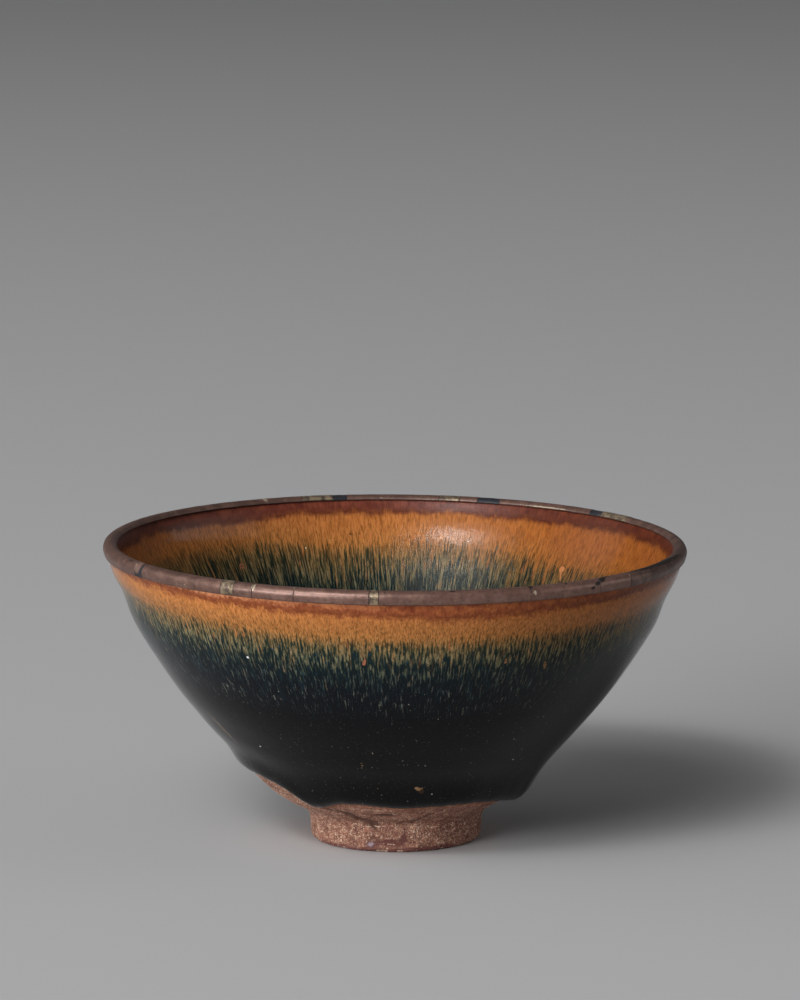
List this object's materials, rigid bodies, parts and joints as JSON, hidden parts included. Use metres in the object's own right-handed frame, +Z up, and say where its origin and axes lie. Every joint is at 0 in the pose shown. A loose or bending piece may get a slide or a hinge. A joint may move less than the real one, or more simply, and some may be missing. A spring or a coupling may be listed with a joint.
{
  "type": "tea bowl",
  "caption": "Conical stoneware tea bowl with a hare's-fur dark glaze, an unglazed foot ring and a pieced metal binding over its lip.",
  "frame": {"origin": "centre of the foot ring's resting face", "axes": "+Z up through the bowl, -Y towards the front of the picture, +X to the right seen from the front"},
  "size_m": [0.124, 0.124, 0.0644],
  "materials": {
    "clay": "coarse unglazed stoneware, dry and granular, reddish brown with tan grit",
    "glaze": "glossy black iron glaze with hare's-fur streaks below an orange and rust lip",
    "lacquer": "dark lacquer, half gloss",
    "binding_metal": "tarnished silvery metal, satin, worn brighter on the crest",
    "gilt_metal": "dull gilt metal, rubbed"
  },
  "bodies": {
    "root": {"stoneware_body": "clay", "glaze_coat": "glaze", "rim_lacquer_bed": "lacquer", "rim_strip_01": "binding_metal", "rim_strip_02": "binding_metal", "rim_strip_03": "binding_metal", "rim_strip_04": "binding_metal", "rim_strip_05": "binding_metal", "rim_strip_06": "binding_metal", "rim_strip_07": "binding_metal", "rim_strip_08": "binding_metal", "rim_strip_09": "binding_metal", "rim_strip_10": "binding_metal", "rim_strip_11": "binding_metal", "rim_strip_12": "binding_metal", "rim_strip_13": "binding_metal", "rim_strip_14": "binding_metal", "rim_strip_15": "binding_metal", "rim_strip_16": "binding_metal", "rim_strip_17": "binding_metal", "rim_strip_18": "binding_metal", "rim_strip_19": "binding_metal", "rim_strip_20": "binding_metal", "gilt_patch_01": "gilt_metal", "gilt_patch_02": "gilt_metal", "gilt_patch_03": "gilt_metal", "gilt_patch_04": "gilt_metal", "gilt_patch_05": "gilt_metal", "lacquer_fill_01": "lacquer", "lacquer_fill_02": "lacquer", "lacquer_fill_03": "lacquer", "lacquer_fill_04": "lacquer"}
  },
  "joints": []
}
